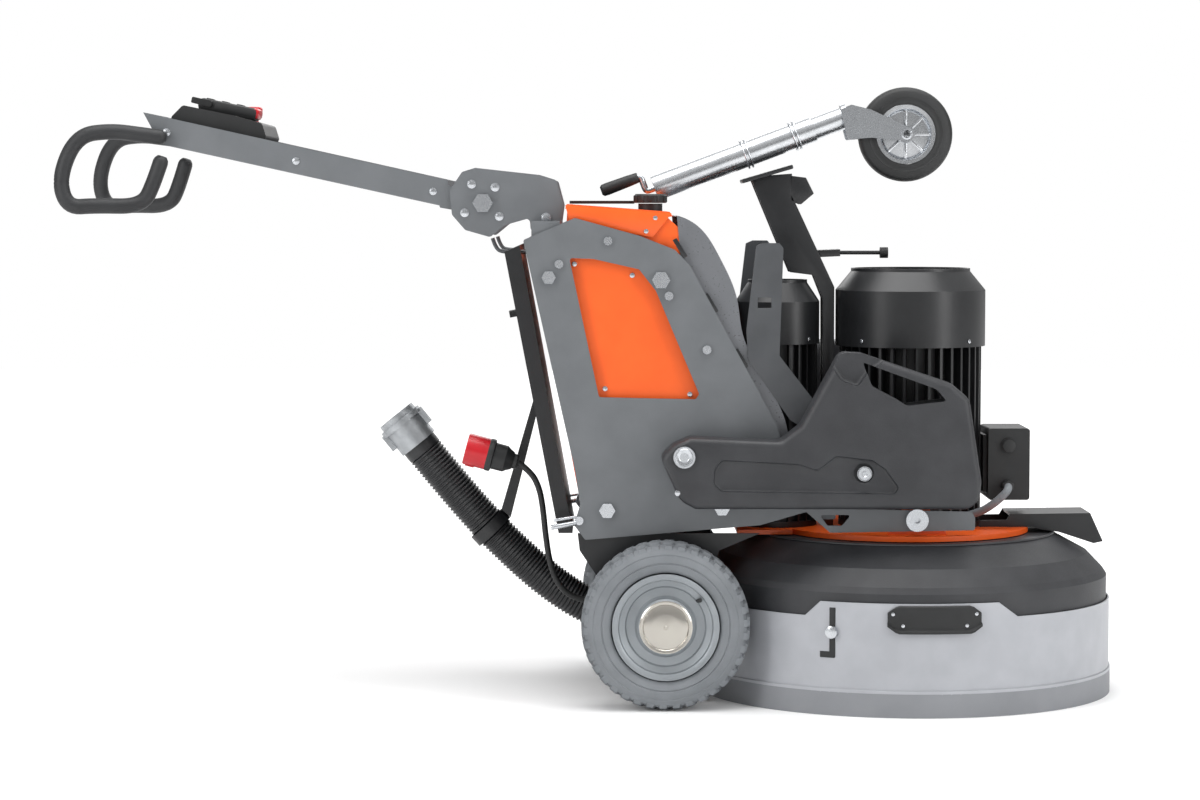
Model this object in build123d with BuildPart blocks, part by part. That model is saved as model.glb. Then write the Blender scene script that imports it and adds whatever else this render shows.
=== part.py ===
"""Walk-behind planetary floor grinder with two drive motors.

Frame: +X forwards, +Y to the machine's left, +Z up, millimetres. The origin is on the
floor, under the middle of the whole machine. Right is the -Y side.
"""

from build123d import *
import math
import os

# ---- driving dimensions ---------------------------------------------------------------

# chassis
FRAME_Y = 230  # outer face of each side frame
FRAME_T = 6
CABINET_Y = 212  # half width of the sheet-metal cabinet
SHEET = 3
PIVOT_PLATE_Y = 175  # outer face of each handle pivot plate
PIVOT_PLATE_T = 6

# drive wheels, 4.00-6 size tyres
WHEEL_X, WHEEL_R = 143, 164
TYRE_W, TYRE_Y = 96, 297  # width and middle plane
RIM_R = 104
AXLE_R = 15

# grinding head
DECK_X = 632
SKIRT_R, SKIRT_T = 415, 3
SKIRT_TOP, SKIRT_BOTTOM = 190, 46
SKIRT_STEP, SKIRT_STEP_X = 219, (411, 439, 779, 817)  # raised middle of each side
HOOD_R, HOOD_SHOULDER_Z, HOOD_TOP_Z, HOOD_TOP_R = 409, 246, 318, 300
HOOD_LOW_Z = 84
HEAD_PLATE_R, HEAD_PLATE_Z, HEAD_PLATE_T = 252, 320, 10
HEAD_PIVOT_X, HEAD_PIVOT_Z = 637, 361
SATELLITE_R, SATELLITE_PCR = 140, 200  # grinding discs and the circle they stand on

# motors
BIG_X, BIG_R = 644, 151
SMALL_X, SMALL_R = 375, 85

# handle
HANDLE_X, HANDLE_Z = -214, 981
BEAM_Y, BEAM_T, BEAM_DEEP = 160, 4, 55
BEAM_SLOPE = math.radians(12.5)
GRIP_R = 15

# swing weights
WEIGHT_X, WEIGHT_Z = 178, 493
WEIGHT_INNER_Y, WEIGHT_OUTER_Y = 245, 337

# jockey wheel arm
ARM_SLOPE = math.radians(20.4)
TUBE_R = 26
CASTER_X, CASTER_Z, CASTER_R = 631.4, 1119, 95

# dust hose and mains cable
HOSE_R, HOSE_PORT_X, HOSE_PORT_Z = 38, 202, 133
CABLE_R, CABLE_Y = 6, -100

RUN = 0.05  # radial clearance of a running fit
GAP = 0.5  # clearance between neighbouring pieces

os.makedirs("parts", exist_ok=True)


def save(block, label):
    """Name a finished piece and write it."""
    block.part.label = label
    export_step(block.part, f"parts/{label}.step")


def upright(y):
    """The plane at y that faces the machine's right: local x is X and local y is Z."""
    return Plane.XZ.offset(-y)


def sheet_plate(outline, y_right, y_left, corner=0, holes=()):
    """A flat plate with its outline in X and Z, between two values of Y."""
    with BuildPart() as plate:
        with BuildSketch(upright(y_right)) as face:
            with BuildLine():
                Polyline(*outline, close=True)
            make_face()
            if corner:
                fillet(face.vertices(), corner)
            for x, z, r in holes:
                with Locations((x, z)):
                    Circle(r, mode=Mode.SUBTRACT)
        extrude(amount=y_right - y_left)
    return plate.part


def pin_y(x, z, r, y_right, y_left):
    """A round pin along Y."""
    with BuildPart() as pin:
        with BuildSketch(upright(y_right)):
            with Locations((x, z)):
                Circle(r)
        extrude(amount=y_right - y_left)
    return pin.part


def both_sides(piece):
    """A right-hand piece and its mirror image on the left."""
    return piece, mirror(piece, about=Plane.XZ)


# ---- side frames ----------------------------------------------------------------------

REAR_TOP, REAR_BOTTOM = (-134, 909), (-33, 459)  # ends of the sloping rear edge
FRAME_OUTLINE = (
    REAR_TOP, (-33, 952), (94, 917), (162, 890), (191, 860), (362, 548), (374, 500),
    (400, 420), (440, 384), (745, 377), (751, 366), (751, 341), (467, 336), (420, 377),
    (330, 351), (-13, 322), (-35, 351), (-23, 391), REAR_BOTTOM,
)
WINDOW = ((-44, 874), (4, 872), (92, 852), (125, 810), (210, 608), (203, 598), (14, 602))
SLOT = ((446, 371), (508, 371), (490, 350), (462, 350))
CROSS_TUBES = ((-84, 836, 10), (30, 380, 12), (255, 385, 12), (135, 831, 14))
FRAME_BOLTS = ((31.6, 907), (-63.9, 862), (150.5, 800), (224.8, 695), (-25, 360))
HEAD_PIN_R = 12

with BuildPart() as side_frame_right:
    add(sheet_plate(FRAME_OUTLINE, -FRAME_Y, -FRAME_Y + FRAME_T, corner=5))
    with BuildSketch(upright(-FRAME_Y)) as openings:
        with BuildLine():
            Polyline(*WINDOW, close=True)
        make_face()
        fillet(openings.vertices(), 5)
    extrude(amount=-FRAME_T, mode=Mode.SUBTRACT)
    add(sheet_plate(SLOT, -FRAME_Y - 1, -FRAME_Y + FRAME_T + 1, corner=3), mode=Mode.SUBTRACT)
    for px, pz, pr in CROSS_TUBES:
        add(pin_y(px, pz, pr - 4, -FRAME_Y - 1, -FRAME_Y + FRAME_T + 1), mode=Mode.SUBTRACT)
    for px, pz in FRAME_BOLTS:
        add(pin_y(px, pz, 4, -FRAME_Y - 1, -FRAME_Y + FRAME_T + 1), mode=Mode.SUBTRACT)
    add(
        pin_y(HEAD_PIVOT_X, HEAD_PIVOT_Z, HEAD_PIN_R, -FRAME_Y - 1, -FRAME_Y + FRAME_T + 1),
        mode=Mode.SUBTRACT,
    )
    add(
        pin_y(WEIGHT_X, WEIGHT_Z, 14, -FRAME_Y - 1, -FRAME_Y + FRAME_T + 1),
        mode=Mode.SUBTRACT,
    )
save(side_frame_right, "side_frame_right")

with BuildPart() as side_frame_left:
    add(side_frame_right.part)
    mirror(about=Plane.XZ, mode=Mode.REPLACE)
save(side_frame_left, "side_frame_left")

CAP_X, CAP_Y = 116, -100  # water filler cap

# ---- cabinet --------------------------------------------------------------------------

CABINET = ((-24, 400), (-112, 872), (-52, 905), (-48, 966), (150, 951), (200, 905), (232, 860),
           (262, 780), (272, 720), (352, 548), (364, 460), (300, 400))
COVER = ((166, 955), (215, 925), (248, 873), (282, 791), (291, 732), (376, 556), (381, 480))
COVER_OUTER = tuple((x + 2.4, z + 1.2) for x, z in COVER)
COVER_FLANGE = (COVER[-1], (300, 480), (176, 850), COVER[0])

with BuildPart() as cabinet_shell:
    add(sheet_plate(CABINET, -CABINET_Y, CABINET_Y))
    with BuildSketch(upright(-CABINET_Y + SHEET)):
        with BuildLine():
            Polyline(*CABINET, close=True)
        make_face()
        offset(amount=-SHEET, mode=Mode.REPLACE)
    extrude(amount=-2 * (CABINET_Y - SHEET), mode=Mode.SUBTRACT)
    for x, z, r in CROSS_TUBES:
        add(pin_y(x, z, r + 1, -CABINET_Y - 1, CABINET_Y + 1), mode=Mode.SUBTRACT)
    # scallop round the small motor, and the filler opening
    with BuildSketch(Plane.XY.offset(380)):
        with Locations((SMALL_X, 0)):
            Circle(SMALL_R + 8)
    extrude(amount=400, mode=Mode.SUBTRACT)
    with BuildSketch(Plane.XY.offset(940)):
        with Locations((CAP_X, CAP_Y)):
            Circle(31)
    extrude(amount=50, mode=Mode.SUBTRACT)
save(cabinet_shell, "cabinet_shell")

COVER_Y = CABINET_Y + 0.3  # where the cover's side edges begin
with BuildPart() as front_cover:
    with BuildSketch(upright(-COVER_Y)):
        with BuildLine():
            Spline(*COVER)
            Spline(*COVER_OUTER)
            Line(COVER[0], COVER_OUTER[0])
            Line(COVER[-1], COVER_OUTER[-1])
        make_face()
    extrude(amount=-2 * COVER_Y)
    for y in (-COVER_Y - 1.7, COVER_Y):
        with BuildSketch(upright(y)):
            with BuildLine():
                Spline(*COVER_OUTER)
                Polyline(COVER_OUTER[-1], *COVER_FLANGE, COVER_OUTER[0])
            make_face()
        extrude(amount=-1.7)
    with BuildSketch(Plane.XY.offset(380)):
        with Locations((SMALL_X, 0)):
            Circle(SMALL_R + 8)
    extrude(amount=600, mode=Mode.SUBTRACT)
save(front_cover, "front_cover")

TOP_PANEL = ((-52, 970), (-49, 979), (152, 964), (158, 955), (151, 954))
with BuildPart() as top_panel:
    add(sheet_plate(TOP_PANEL, -216, 216))
    with BuildSketch(Plane.XY.offset(940)):
        with Locations((116, -100)):
            Circle(31)
    extrude(amount=50, mode=Mode.SUBTRACT)
save(top_panel, "top_panel")

with BuildPart() as top_lid:
    with BuildSketch(Plane.XY.offset(979.5)):
        with Locations((20, 40)):
            RectangleRounded(130, 210, 12)
    extrude(amount=6)
save(top_lid, "top_lid")

with BuildPart() as rear_door:
    add(sheet_plate(((-38, 330), (-66, 330), (-172, 885), (-142, 898)), -180, 180))
save(rear_door, "rear_door")

with BuildPart() as drive_unit:
    with BuildSketch(Plane.XY.offset(430)):
        with Locations((90, 0)):
            Rectangle(150, 300)
    extrude(amount=330)
save(drive_unit, "drive_unit")

with BuildPart() as water_tank:
    with BuildSketch(Plane.XY.offset(868)):
        with Locations((60, 0)):
            Rectangle(170, 380)
    extrude(amount=70)
    with BuildSketch(Plane.XY.offset(938)):
        with Locations((116, -100)):
            Circle(24)
    extrude(amount=42)
save(water_tank, "water_tank")

with BuildPart() as cross_tubes:
    for x, z, r in CROSS_TUBES:
        add(pin_y(x, z, r, -FRAME_Y + FRAME_T, FRAME_Y - FRAME_T))
        add(pin_y(x, z, r - 4, -FRAME_Y, FRAME_Y))
        for y in (-FRAME_Y - 9, FRAME_Y):
            with BuildSketch(upright(y)):
                with Locations((x, z)):
                    RegularPolygon(r + 4, 6)
            extrude(amount=-9)
save(cross_tubes, "cross_tubes")

with BuildPart() as frame_bolts:
    for x, z in FRAME_BOLTS:
        for side in (-1, 1):
            near = side * FRAME_Y
            far = side * (FRAME_Y - FRAME_T - 4)
            add(pin_y(x, z, 4, min(near, far), max(near, far)))
            head = side * (FRAME_Y + 6)
            add(pin_y(x, z, 8.5, min(near, head), max(near, head)))
save(frame_bolts, "frame_bolts")

# ---- axle carrier and drive wheels ----------------------------------------------------

with BuildPart() as axle_carrier:
    for y in (-220, 214):
        add(sheet_plate(((-28, 334), (330, 334), (250, 300), (200, 130), (90, 130), (-24, 300)),
                        y, y + 6))
    for side in (-1, 1):
        low, high = sorted((side * 60, side * 214))
        add(sheet_plate(((-22, 300), (190, 300), (190, 140), (90, 140)), low, high))
        low, high = sorted((side * 214, side * 342))
        add(pin_y(WHEEL_X, WHEEL_R, AXLE_R, low, high))
    add(sheet_plate(((-22, 294), (190, 294), (190, 300), (-22, 300)), -60, 60))
save(axle_carrier, "axle_carrier")

with BuildPart() as rim_right:
    with BuildSketch(Plane.YZ.offset(WHEEL_X)):
        with BuildLine():
            Polyline(
                (-338, WHEEL_R + AXLE_R + RUN), (-338, WHEEL_R + 52), (-318, WHEEL_R + 60),
                (-318, WHEEL_R + 88), (-340, WHEEL_R + 97), (-340, WHEEL_R + RIM_R - 0.5),
                (-254, WHEEL_R + RIM_R - 0.5), (-254, WHEEL_R + 97), (-300, WHEEL_R + 88),
                (-300, WHEEL_R + 60), (-246, WHEEL_R + 52), (-246, WHEEL_R + AXLE_R + RUN),
                close=True,
            )
        make_face()
    revolve(axis=Axis((WHEEL_X, 0, WHEEL_R), (0, 1, 0)))
save(rim_right, "rim_right")

with BuildPart() as tyre_right:
    with BuildSketch(Plane.YZ.offset(WHEEL_X)) as tyre_half:
        with Locations((-TYRE_Y, WHEEL_R + (WHEEL_R + RIM_R) / 2)):
            Rectangle(TYRE_W, WHEEL_R - RIM_R)
        fillet(tyre_half.vertices().group_by(Axis.Y)[-1], 26)
        fillet(tyre_half.vertices().group_by(Axis.Y)[0], 8)
    revolve(axis=Axis((WHEEL_X, 0, WHEEL_R), (0, 1, 0)))
save(tyre_right, "tyre_right")

for right, label in ((rim_right, "rim_left"), (tyre_right, "tyre_left")):
    with BuildPart() as left:
        add(right.part)
        mirror(about=Plane.XZ, mode=Mode.REPLACE)
    save(left, label)

# ---- handle pivot and handle ----------------------------------------------------------

PIVOT_OUTLINE = (
    (-255, 1042), (-229, 1050), (-102, 1036), (-70, 1026), (-57, 977), (-64, 925),
    (-120, 925), (-122, 952), (-171, 938), (-200, 914), (-249, 928), (-275, 958), (-279, 1006),
)
BEAM_FRONT, BEAM_REAR = (-283, 1026), (-882, 1159)  # upper edge of the channel


with BuildPart() as pivot_plates:
    plate = sheet_plate(
        PIVOT_OUTLINE, -PIVOT_PLATE_Y, -PIVOT_PLATE_Y + PIVOT_PLATE_T, corner=8,
        holes=((HANDLE_X, HANDLE_Z, 12),),
    )
    web = sheet_plate(((-118, 946), (-62, 946), (-62, 925), (-118, 925)), -224, -175)
    tab = sheet_plate(((-118, 925), (-62, 925), (-62, 880), (-112, 880)), -224 + GAP, -220)
    for piece in (plate, web, tab):
        for twin in both_sides(piece):
            add(twin)
    add(sheet_plate(((-118, 925), (-62, 925), (-62, 915), (-118, 915)), -224 + GAP, -170))
    add(sheet_plate(((-118, 925), (-62, 925), (-62, 915), (-118, 915)), 170, 224 - GAP))
save(pivot_plates, "pivot_plates")

drop = (math.sin(BEAM_SLOPE) * -BEAM_DEEP * 0.98, -math.cos(BEAM_SLOPE) * BEAM_DEEP)
BEAM_SIDE = (
    BEAM_FRONT, BEAM_REAR, (BEAM_REAR[0] + drop[0] + 45, BEAM_REAR[1] + drop[1] - 9),
    (BEAM_FRONT[0] + drop[0] + 12, BEAM_FRONT[1] + drop[1]),
)
with BuildPart() as handle_beam:
    add(sheet_plate(BEAM_SIDE, -BEAM_Y, BEAM_Y))
    inner = [(x, z + BEAM_T) for x, z in BEAM_SIDE[2:]]
    hollow = (
        (inner[1][0] - BEAM_T, inner[1][1]), (BEAM_FRONT[0] - BEAM_T, BEAM_FRONT[1] + 30),
        (BEAM_REAR[0] + BEAM_T, BEAM_REAR[1] + 30), (inner[0][0] + BEAM_T, inner[0][1]),
    )
    add(sheet_plate(hollow, -BEAM_Y + BEAM_T, BEAM_Y - BEAM_T), mode=Mode.SUBTRACT)
    # two arms that carry the beam on the pivot shaft, inside the plates
    arm = sheet_plate(
        ((-300, 1018), (-300, 972), (HANDLE_X - 4, 958), (HANDLE_X + 22, 966),
         (HANDLE_X + 22, 998), (HANDLE_X - 4, 1006)),
        -BEAM_Y, -BEAM_Y + 8, corner=3, holes=((HANDLE_X, HANDLE_Z, 12 + RUN),),
    )
    for twin in both_sides(arm):
        add(twin)
save(handle_beam, "handle_beam")

# Each grip is a bent tube that starts under the beam, loops back and splays outwards.
GRIP_PATH = ((-834, 177, 1108), (-936, 196, 1120), (-1000, 221, 1106), (-1033, 236, 1030),
             (-1014, 240, 986), (-972, 230, 977), (-884, 197, 980), (-846, 181, 1060))
with BuildPart() as grips:
    for side in (-1, 1):
        with BuildLine() as grip_line:
            FilletPolyline(*[(x, side * y, z) for x, y, z in GRIP_PATH], radius=22)
        start = Plane(grip_line.line @ 0, z_dir=grip_line.line % 0)
        with BuildSketch(start):
            Circle(GRIP_R)
        sweep(path=grip_line.line)
save(grips, "grips")

# dash, display and stop button stand on a bridge plate across the channel
DASH = ((-820, 1112), (-832, 1150), (-808, 1174), (-710, 1154), (-652, 1138), (-644, 1112),
        (-656, 1088))
with BuildPart() as dash_housing:
    add(sheet_plate(DASH, -130, 130, corner=8))
    with BuildSketch(Plane.XY.offset(1185)):
        with Locations((-690, 60)):
            Circle(11 + GAP)
    extrude(amount=-60, mode=Mode.SUBTRACT)
    for side in (-1, 1):
        lug = sheet_plate(((-810, 1112), (-660, 1078), (-660, 1092), (-810, 1126)),
                          min(130 * side, 156 * side), max(130 * side, 156 * side))
        add(lug)
    # the remote control clipped on top
    add(sheet_plate(((-800, 1181), (-760, 1172), (-757, 1184), (-797, 1193)), -70, 20, corner=3))
save(dash_housing, "dash_housing")

with BuildPart() as stop_button:
    with BuildSketch(Plane.XY.offset(1132)):
        with Locations((-690, 60)):
            Circle(11)
    extrude(amount=34)
    with BuildSketch(Plane.XY.offset(1163)):
        with Locations((-690, 60)):
            Circle(19)
    extrude(amount=13)
    fillet(stop_button.faces().sort_by(Axis.Z)[-1].edges(), 5)
save(stop_button, "stop_button")

SWITCH_X, SWITCH_Z = -128, 760  # centre of the main switch on the rear door
switch_plane = Plane(origin=(SWITCH_X - 20.5, 120, SWITCH_Z - 3.6), z_dir=(-0.982, 0, -0.188))
with BuildPart() as main_switch:
    with BuildSketch(switch_plane):
        Circle(26)
    extrude(amount=8)
    with BuildSketch(switch_plane.offset(8)):
        RectangleRounded(14, 46, 5)
    extrude(amount=14)
save(main_switch, "main_switch")

with BuildPart() as tank_cap:
    with BuildSketch(Plane.XY.offset(981)):
        with Locations((CAP_X, CAP_Y)):
            Circle(34)
    extrude(amount=18)
    fillet(tank_cap.faces().sort_by(Axis.Z)[-1].edges(), 4)
save(tank_cap, "tank_cap")

# ---- grinding head --------------------------------------------------------------------

with BuildPart() as hood:
    with BuildSketch(Plane.XZ.shift_origin((DECK_X, 0, 0))):
        with BuildLine():
            Polyline(
                (200, HOOD_TOP_Z), (HOOD_TOP_R, HOOD_TOP_Z), (370, 280),
                (HOOD_R - 8, HOOD_SHOULDER_Z + 2), (HOOD_R, HOOD_SHOULDER_Z - 10),
                (HOOD_R, HOOD_LOW_Z), (HOOD_R - 4, HOOD_LOW_Z), (HOOD_R - 4, HOOD_SHOULDER_Z - 12),
                (367, 275), (HOOD_TOP_R - 2, HOOD_TOP_Z - 4), (200, HOOD_TOP_Z - 4),
                close=True,
            )
        make_face()
    revolve(axis=Axis((DECK_X, 0, 0), (0, 0, 1)))
    # spigot for the dust hose, at the back
    with BuildSketch(Plane.YZ.offset(HOSE_PORT_X)):
        with Locations((0, HOSE_PORT_Z)):
            Circle(HOSE_R + 4)
    extrude(amount=DECK_X - HOOD_R + 12 - HOSE_PORT_X)
    with BuildSketch(Plane.YZ.offset(HOSE_PORT_X)):
        with Locations((0, HOSE_PORT_Z)):
            Circle(HOSE_R - 4)
    extrude(amount=60, mode=Mode.SUBTRACT)
save(hood, "hood")

with BuildPart() as head_plate:
    with BuildSketch(Plane.XY.offset(HEAD_PLATE_Z)):
        with Locations((DECK_X, 0)):
            Circle(HEAD_PLATE_R)
    extrude(amount=HEAD_PLATE_T)
    add(sheet_plate(((290, 321), (400, 321), (400, 330), (290, 330)), -120, 120))
    for side in (-1, 1):
        low, high = min(200 * side, 214 * side), max(200 * side, 214 * side)
        add(sheet_plate(((580, 328), (700, 328), (662, 382), (612, 382)), low, high,
                        holes=((HEAD_PIVOT_X, HEAD_PIVOT_Z, HEAD_PIN_R + RUN),)))
save(head_plate, "head_plate")


def motor_body(x, r, z_low, z_high, fins):
    """A finned motor casing that stands on its flange."""
    with BuildPart() as casing:
        with BuildSketch(Plane.XY.offset(z_low)):
            with Locations((x, 0)):
                Circle(r * 0.95)
        extrude(amount=12)
        with BuildSketch(Plane.XY.offset(z_low)):
            with Locations((x, 0)):
                Circle(r * 0.8)
                with PolarLocations(r * 0.85, fins):
                    Rectangle(r * 0.2, r * 0.035)
        extrude(amount=z_high - z_low)
        with BuildSketch(Plane.XY.offset(z_high + 1)):
            with Locations((x, 0)):
                Circle(10 + RUN)
        extrude(amount=-60, mode=Mode.SUBTRACT)
    return casing


def motor_cowl(x, r, z_low, z_high, rim_r):
    """The domed fan cowl over the top of a motor, with a ring of air slots."""
    with BuildPart() as cowl:
        with BuildSketch(Plane.XZ.shift_origin((x, 0, 0))):
            with BuildLine():
                Polyline(
                    (r, z_low), (r, z_high - 44), (rim_r + 2, z_high - 6), (rim_r + 2, z_high),
                    (rim_r - 4, z_high), (rim_r - 4, z_high - 8), (24, z_high - 8),
                    (24, z_high - 11), (rim_r - 4, z_high - 11), (r - 3, z_high - 46),
                    (r - 3, z_low), close=True,
                )
            make_face()
        revolve(axis=Axis((x, 0, 0), (0, 0, 1)))
        with BuildSketch(Plane.XY.offset(z_high - 12)):
            with Locations((x, 0)):
                with PolarLocations(rim_r * 0.6, 18):
                    SlotOverall(rim_r * 0.6, rim_r * 0.06)
        extrude(amount=6, mode=Mode.SUBTRACT)
    return cowl


def motor_fan(x, r, z_low, z_high):
    """A rotor shaft with its cooling fan."""
    with BuildPart() as fan:
        with BuildSketch(Plane.XY.offset(z_low - 50)):
            with Locations((x, 0)):
                Circle(10)
        extrude(amount=z_high - z_low + 50)
        with BuildSketch(Plane.XY.offset(z_low)):
            with Locations((x, 0)):
                Circle(r)
        extrude(amount=4)
        with BuildSketch(Plane.XY.offset(z_low)):
            with Locations((x, 0)):
                with PolarLocations(r * 0.6, 9):
                    Rectangle(r * 0.75, 3)
        extrude(amount=z_high - z_low)
    return fan


BIG_BODY_TOP, BIG_COWL_LOW, BIG_COWL_TOP = 745, 694, 850
SMALL_BODY_TOP, SMALL_COWL_LOW, SMALL_COWL_TOP = 745, 698, 827
big_motor = motor_body(BIG_X, BIG_R, HEAD_PLATE_Z + HEAD_PLATE_T, BIG_BODY_TOP, 36)
save(big_motor, "big_motor")
big_cowl = motor_cowl(BIG_X, BIG_R, BIG_COWL_LOW, BIG_COWL_TOP, 118)
save(big_cowl, "big_cowl")
big_fan = motor_fan(BIG_X, 105, 762, 800)
save(big_fan, "big_fan")
small_motor = motor_body(SMALL_X, SMALL_R, HEAD_PLATE_Z + HEAD_PLATE_T, SMALL_BODY_TOP, 24)
save(small_motor, "small_motor")
small_cowl = motor_cowl(SMALL_X, SMALL_R, SMALL_COWL_LOW, SMALL_COWL_TOP, 58)
save(small_cowl, "small_cowl")
small_fan = motor_fan(SMALL_X, 50, 758, 782)
save(small_fan, "small_fan")

with BuildPart() as terminal_box:
    add(sheet_plate(((BIG_X + BIG_R, 386), (878, 386), (878, 530), (BIG_X + BIG_R, 530)),
                    -78, 60, corner=6))
    add(sheet_plate(((788, 400), (BIG_X + BIG_R, 400), (BIG_X + BIG_R, 515), (788, 515)),
                    -50, 40))
    add(pin_y(835, 495, 15, -84, -78))
    add(pin_y(832, 415, 11, -100, -78))
save(terminal_box, "terminal_box")

FRONT_BRACKET = ((842, 356), (1003, 358), (1029, 301), (1010, 297), (940, 320), (902, 325),
                 (890, 330), (780, 330), (780, 343), (835, 344))
with BuildPart() as front_bracket:
    for side in (-1, 1):
        low, high = sorted((side * 56, side * 62))
        add(sheet_plate(FRONT_BRACKET, low, high, corner=2))
    add(sheet_plate(((842, 352), (1003, 354), (1003, 358), (842, 356)), -62, 62))
save(front_bracket, "front_bracket")

# ---- dust shroud that floats on the hood ----------------------------------------------

# the middle of each side stands higher, with a slanting shoulder at both ends
SKIRT_SHOULDER = (
    (430, 100), (SKIRT_STEP_X[0], SKIRT_TOP), (SKIRT_STEP_X[1], SKIRT_STEP),
    (SKIRT_STEP_X[2], SKIRT_STEP), (SKIRT_STEP_X[3], SKIRT_TOP), (800, 100),
)
with BuildPart() as skirt_middle:
    with BuildSketch(Plane.XY.offset(SKIRT_BOTTOM)):
        with Locations((DECK_X, 0)):
            Circle(SKIRT_R)
            Circle(SKIRT_R - SKIRT_T, mode=Mode.SUBTRACT)
    extrude(amount=SKIRT_STEP - SKIRT_BOTTOM)
    add(sheet_plate(SKIRT_SHOULDER, -450, 450), mode=Mode.INTERSECT)

with BuildPart() as skirt:
    with BuildSketch(Plane.XY.offset(SKIRT_BOTTOM)):
        with Locations((DECK_X, 0)):
            Circle(SKIRT_R)
            Circle(SKIRT_R - SKIRT_T, mode=Mode.SUBTRACT)
    extrude(amount=SKIRT_TOP - SKIRT_BOTTOM)
    add(skirt_middle.part)
    with BuildSketch(Plane.XY.offset(SKIRT_BOTTOM - 1)):
        with Locations((DECK_X - SKIRT_R, 0)):
            Rectangle(80, 2 * HOSE_R + 16)
    extrude(amount=SKIRT_TOP, mode=Mode.SUBTRACT)
save(skirt, "skirt")

with BuildPart() as brush_strip:
    with BuildSketch(Plane.XY):
        with Locations((DECK_X, 0)):
            Circle(SKIRT_R + 3)
            Circle(SKIRT_R - 8, mode=Mode.SUBTRACT)
    extrude(amount=SKIRT_BOTTOM)
save(brush_strip, "brush_strip")

SHROUD_HANDLE_Z, SHROUD_HANDLE_TALL, SHROUD_HANDLE_DEEP = 161, 56, 12
HANDLE_MIDDLE = 273  # direction of the right-hand shroud handle from the deck's axis
with BuildPart() as shroud_handles:
    for middle in (HANDLE_MIDDLE, 360 - HANDLE_MIDDLE):
        with BuildSketch(Plane.XY.offset(SHROUD_HANDLE_Z)):
            with Locations((DECK_X, 0)):
                Circle(SKIRT_R + SHROUD_HANDLE_DEEP)
                Circle(SKIRT_R, mode=Mode.SUBTRACT)
                with PolarLocations(0, 1, start_angle=middle):
                    Polygon((0, 0), (600, -129), (600, 129), align=None, mode=Mode.INTERSECT)
        extrude(amount=SHROUD_HANDLE_TALL)
save(shroud_handles, "shroud_handles")

# ---- turntable and satellites ---------------------------------------------------------

with BuildPart() as turntable:
    with BuildSketch(Plane.XY.offset(84)):
        with Locations((DECK_X, 0)):
            Circle(370)
    extrude(amount=60)
    with BuildSketch(Plane.XY.offset(144)):
        with Locations((DECK_X, 0)):
            Circle(40)
    extrude(amount=160)
    with BuildSketch(Plane.XY.offset(83)):
        with Locations((DECK_X, 0)):
            with PolarLocations(SATELLITE_PCR, 3):
                Circle(18 + RUN)
    extrude(amount=62, mode=Mode.SUBTRACT)
save(turntable, "turntable")

for number in range(3):
    turn = math.radians(120 * number)
    sx, sy = DECK_X + SATELLITE_PCR * math.cos(turn), SATELLITE_PCR * math.sin(turn)
    with BuildPart() as satellite:
        with BuildSketch(Plane.XY.offset(38)):
            with Locations((sx, sy)):
                Circle(SATELLITE_R)
        extrude(amount=22)
        with BuildSketch(Plane.XY.offset(60)):
            with Locations((sx, sy)):
                Circle(18)
        extrude(amount=80)
        with BuildSketch(Plane.XY):
            with Locations((sx, sy)):
                with PolarLocations(105, 6):
                    RectangleRounded(24, 46, 5)
        extrude(amount=38)
    save(satellite, f"grinding_disc_{number + 1}")

# ---- swing weights --------------------------------------------------------------------

WEIGHT = ((132, 491), (155, 514), (190, 530), (364, 522), (403, 553), (479, 694), (520, 692),
          (692, 634), (727, 605), (751, 446), (748, 403), (728, 390), (200, 392), (175, 407))
HAND_SLOT = ((522, 675), (663, 624), (682, 601), (605, 592), (586, 605), (538, 630))
KNOB_X, KNOB_Z = 524, 462

for side, name in ((-1, "right"), (1, "left")):
    low, high = sorted((side * WEIGHT_INNER_Y, side * WEIGHT_OUTER_Y))
    with BuildPart() as weight:
        add(sheet_plate(WEIGHT, low, high, corner=6))
        add(sheet_plate(HAND_SLOT, low - 1, high + 1, corner=8), mode=Mode.SUBTRACT)
        add(pin_y(WEIGHT_X, WEIGHT_Z, 16 + RUN, low - 1, high + 1), mode=Mode.SUBTRACT)
        add(pin_y(KNOB_X, KNOB_Z, 8 + RUN, low - 1, high + 1), mode=Mode.SUBTRACT)
    save(weight, f"weight_{name}")
    with BuildPart() as lock:
        a, b, c = side * 250, side * (WEIGHT_OUTER_Y + 4), side * (WEIGHT_OUTER_Y + 12)
        add(pin_y(KNOB_X, KNOB_Z, 8, min(a, c), max(a, c)))
        add(pin_y(KNOB_X, KNOB_Z, 14, min(b, c), max(b, c)))
    save(lock, f"weight_lock_{name}")

# every fixed pivot pin: the handle's shaft, the head's pins and the weights' shafts
with BuildPart() as pivot_pins:
    add(pin_y(HANDLE_X, HANDLE_Z, 12, -184, 184))
    for y in (-192, 184):
        with BuildSketch(upright(y + 8)):
            with Locations((HANDLE_X, HANDLE_Z)):
                RegularPolygon(20, 6)
        extrude(amount=8)
    for side in (-1, 1):
        face = side * FRAME_Y
        add(pin_y(HEAD_PIVOT_X, HEAD_PIVOT_Z, HEAD_PIN_R, *sorted((side * 198, face))))
        add(pin_y(HEAD_PIVOT_X, HEAD_PIVOT_Z, 22, *sorted((face, face + side * 10))))
        bore = pin_y(HEAD_PIVOT_X, HEAD_PIVOT_Z, 6, *sorted((face, face + side * 12)))
        add(bore, mode=Mode.SUBTRACT)
        end = side * (WEIGHT_OUTER_Y + 2)
        add(pin_y(WEIGHT_X, WEIGHT_Z, 14, *sorted((face - side * 17, face))))
        add(pin_y(WEIGHT_X, WEIGHT_Z, 16, *sorted((face, end))))
        add(pin_y(WEIGHT_X, WEIGHT_Z, 21, *sorted((end, end + side * 5))))
save(pivot_pins, "pivot_pins")

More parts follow.
